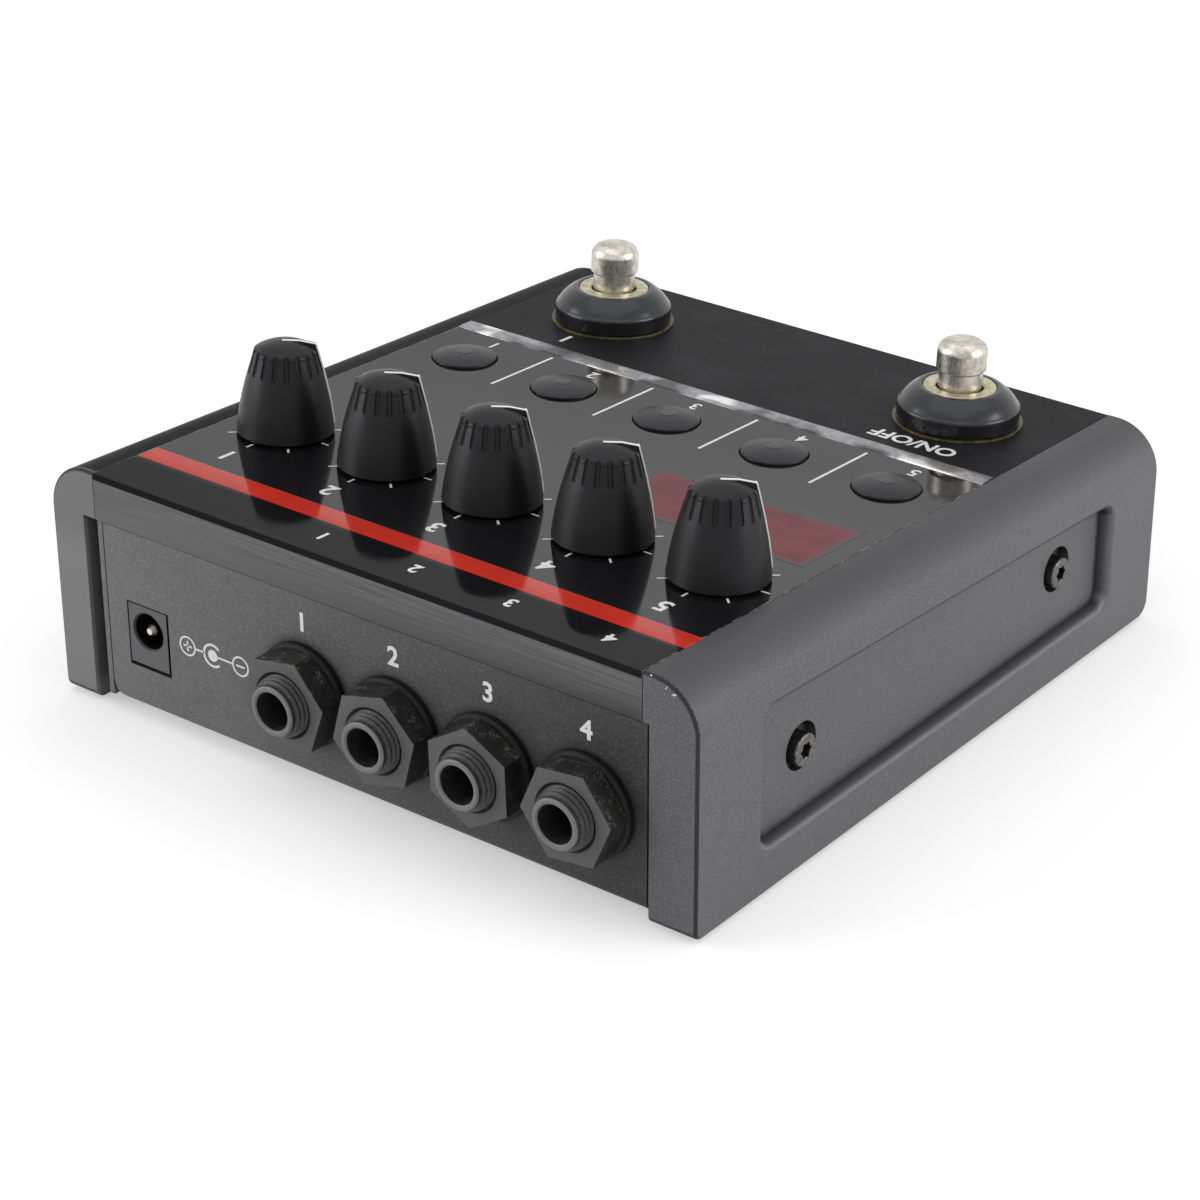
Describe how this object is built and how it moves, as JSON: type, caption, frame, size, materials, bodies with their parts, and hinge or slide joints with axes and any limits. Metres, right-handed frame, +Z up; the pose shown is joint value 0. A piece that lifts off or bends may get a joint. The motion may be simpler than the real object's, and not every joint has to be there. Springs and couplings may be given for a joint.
{
  "type": "delay pedal",
  "caption": "Compact delay effects pedal: sloped case with side rails, glossy top with turning knobs, buttons and a display window, stomp switches and rear sockets.",
  "frame": {"origin": "centre of the object's footprint on the plane of its rubber feet", "axes": "+X to the user's right, +Y towards the rear socket panel, +Z up; the user stands at -Y by the footswitches"},
  "size_m": [0.132, 0.143, 0.0578],
  "materials": {
    "rail_paint": "fine textured semi-matte charcoal",
    "cover_paint": "matte black",
    "chassis_paint": "fine-grained charcoal",
    "overlay_gloss": "high gloss near-black",
    "divider_metal": "satin with wear",
    "window_red": "clear dark red",
    "module_black": "matte black",
    "knob_plastic": "satin black with a white pointer line",
    "button_plastic": "satin black",
    "collar_plastic": "gloss black",
    "cap_metal": "worn nickel plate",
    "washer_brass": "dull brass",
    "sleeve_brass": "pale dull brass",
    "switch_body": "moulded blue",
    "bright_steel": "bright zinc",
    "nut_black": "dusty matte black",
    "jack_plastic": "matte black with a threaded barrel",
    "board_green": "solder-masked laminate",
    "cable_grey": "grey ribbed flat cable",
    "foot_rubber": "soft black",
    "lug_metal": "tinned brass"
  },
  "bodies": {
    "case": {"left_rail": "rail_paint", "right_rail": "rail_paint", "top_cover": "cover_paint", "chassis": "chassis_paint", "side_walls": "chassis_paint", "rear_panel": "chassis_paint", "footswitch_collars": "collar_plastic", "rail_screws": "bright_steel", "clinch_nuts": "bright_steel", "rubber_feet": "foot_rubber", "overlay_panel": "overlay_gloss", "divider_strip": "divider_metal", "display_window": "window_red", "display_module": "module_black", "pot_nuts": "bright_steel", "button_switches": "module_black", "footswitch_washers": "washer_brass", "footswitch_lock_nuts": "bright_steel", "footswitch_terminals": "lug_metal", "jack_nuts": "nut_black", "jack_terminals": "lug_metal", "dc_inlet": "jack_plastic", "dc_pin": "bright_steel", "main_board": "board_green", "control_board": "board_green", "board_standoffs": "lug_metal", "base_screws": "bright_steel", "ribbon_cable": "cable_grey", "pot_1": "bright_steel", "pot_2": "bright_steel", "pot_3": "bright_steel", "pot_4": "bright_steel", "pot_5": "bright_steel", "footswitch_sleeve_1": "sleeve_brass", "footswitch_body_1": "switch_body", "footswitch_spring_1": "bright_steel", "footswitch_sleeve_2": "sleeve_brass", "footswitch_body_2": "switch_body", "footswitch_spring_2": "bright_steel", "jack_1": "jack_plastic", "jack_2": "jack_plastic", "jack_3": "jack_plastic", "jack_4": "jack_plastic"},
    "knob_1_turning": {"knob_1": "knob_plastic", "pot_shaft_1": "bright_steel"},
    "knob_2_turning": {"knob_2": "knob_plastic", "pot_shaft_2": "bright_steel"},
    "knob_3_turning": {"knob_3": "knob_plastic", "pot_shaft_3": "bright_steel"},
    "knob_4_turning": {"knob_4": "knob_plastic", "pot_shaft_4": "bright_steel"},
    "knob_5_turning": {"knob_5": "knob_plastic", "pot_shaft_5": "bright_steel"},
    "button_1_pressed": {"button_1": "button_plastic"},
    "button_2_pressed": {"button_2": "button_plastic"},
    "button_3_pressed": {"button_3": "button_plastic"},
    "button_4_pressed": {"button_4": "button_plastic"},
    "button_5_pressed": {"button_5": "button_plastic"},
    "footswitch_1_pressed": {"footswitch_plunger_1": "cap_metal"},
    "footswitch_2_pressed": {"footswitch_plunger_2": "cap_metal"}
  },
  "joints": [
    {"name": "knob_1_turn", "type": "hinge", "parent": "case", "child": "knob_1_turning", "pos_m": [0.0448, 0.02925, 0.04144], "axis": [0, -0.0529, 0.9986], "range_deg": [-270, 0]},
    {"name": "knob_2_turn", "type": "hinge", "parent": "case", "child": "knob_2_turning", "pos_m": [0.0224, 0.02925, 0.04144], "axis": [0, -0.0529, 0.9986], "range_deg": [-270, 0]},
    {"name": "knob_3_turn", "type": "hinge", "parent": "case", "child": "knob_3_turning", "pos_m": [0, 0.02925, 0.04144], "axis": [0, -0.0529, 0.9986], "range_deg": [-270, 0]},
    {"name": "knob_4_turn", "type": "hinge", "parent": "case", "child": "knob_4_turning", "pos_m": [-0.0224, 0.02925, 0.04144], "axis": [0, -0.0529, 0.9986], "range_deg": [-270, 0]},
    {"name": "knob_5_turn", "type": "hinge", "parent": "case", "child": "knob_5_turning", "pos_m": [-0.0448, 0.02925, 0.04144], "axis": [0, -0.0529, 0.9986], "range_deg": [-270, 0]},
    {"name": "button_1_press", "type": "slide", "parent": "case", "child": "button_1_pressed", "axis": [0, 0.0529, -0.9986], "range_m": [0, 0.0005], "stiffness_N_per_m": 1500, "springref_m": -0.0005},
    {"name": "button_2_press", "type": "slide", "parent": "case", "child": "button_2_pressed", "axis": [0, 0.0529, -0.9986], "range_m": [0, 0.0005], "stiffness_N_per_m": 1500, "springref_m": -0.0005},
    {"name": "button_3_press", "type": "slide", "parent": "case", "child": "button_3_pressed", "axis": [0, 0.0529, -0.9986], "range_m": [0, 0.0005], "stiffness_N_per_m": 1500, "springref_m": -0.0005},
    {"name": "button_4_press", "type": "slide", "parent": "case", "child": "button_4_pressed", "axis": [0, 0.0529, -0.9986], "range_m": [0, 0.0005], "stiffness_N_per_m": 1500, "springref_m": -0.0005},
    {"name": "button_5_press", "type": "slide", "parent": "case", "child": "button_5_pressed", "axis": [0, 0.0529, -0.9986], "range_m": [0, 0.0005], "stiffness_N_per_m": 1500, "springref_m": -0.0005},
    {"name": "footswitch_1_press", "type": "slide", "parent": "case", "child": "footswitch_1_pressed", "axis": [0, 0.0529, -0.9986], "range_m": [0, 0.003], "stiffness_N_per_m": 4000, "springref_m": -0.001, "deforming": ["footswitch_spring_1"]},
    {"name": "footswitch_2_press", "type": "slide", "parent": "case", "child": "footswitch_2_pressed", "axis": [0, 0.0529, -0.9986], "range_m": [0, 0.003], "stiffness_N_per_m": 4000, "springref_m": -0.001, "deforming": ["footswitch_spring_2"]}
  ]
}
